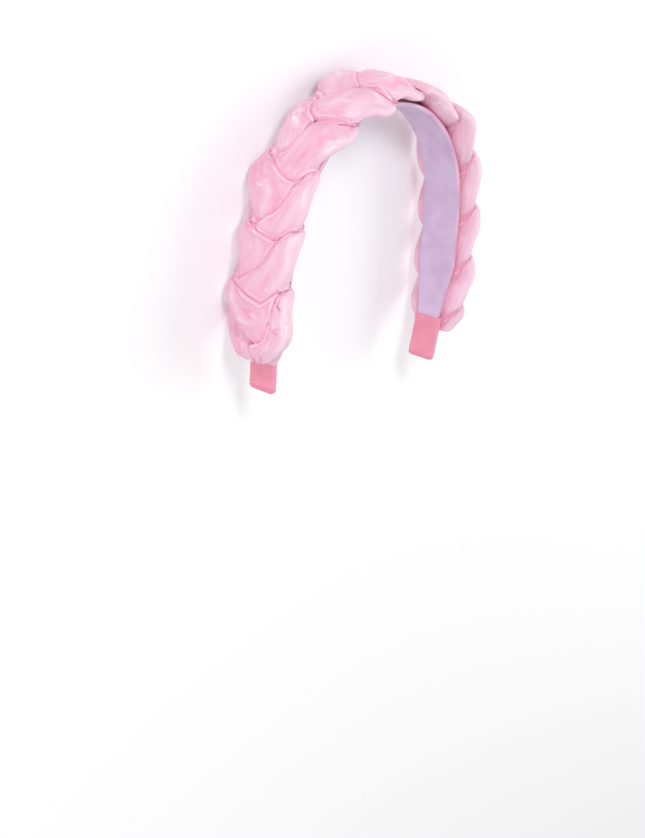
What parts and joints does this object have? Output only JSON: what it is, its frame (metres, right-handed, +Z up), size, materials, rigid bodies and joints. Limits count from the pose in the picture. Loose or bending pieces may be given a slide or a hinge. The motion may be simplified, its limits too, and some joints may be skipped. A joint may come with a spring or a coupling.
{
  "type": "braided_headband",
  "caption": "Hard arch headband under a chunky three strand braid of pale pink sheer fabric, with satin covered tips and a lavender lining",
  "frame": {"origin": "bottom centre of the whole headband's bounding box, on the floor under its middle", "axes": "+X across the band to the wearer's left leg, +Y from the tips to the crown, +Z up from the band's back edge, which lies on the floor, to its front edge"},
  "size_m": [0.1628, 0.1574, 0.0463],
  "materials": {
    "organza": "pale pink sheer organza with a soft sheen",
    "satin": "salmon pink satin",
    "lining": "lavender lining cloth",
    "core": "dark matte plastic strip"
  },
  "bodies": {
    "root": {"band_core": "core", "inner_lining": "lining", "tip_cover_right": "satin", "tip_cover_left": "satin", "braid_strand_1": "organza", "braid_strand_2": "organza", "braid_strand_3": "organza"}
  },
  "joints": []
}
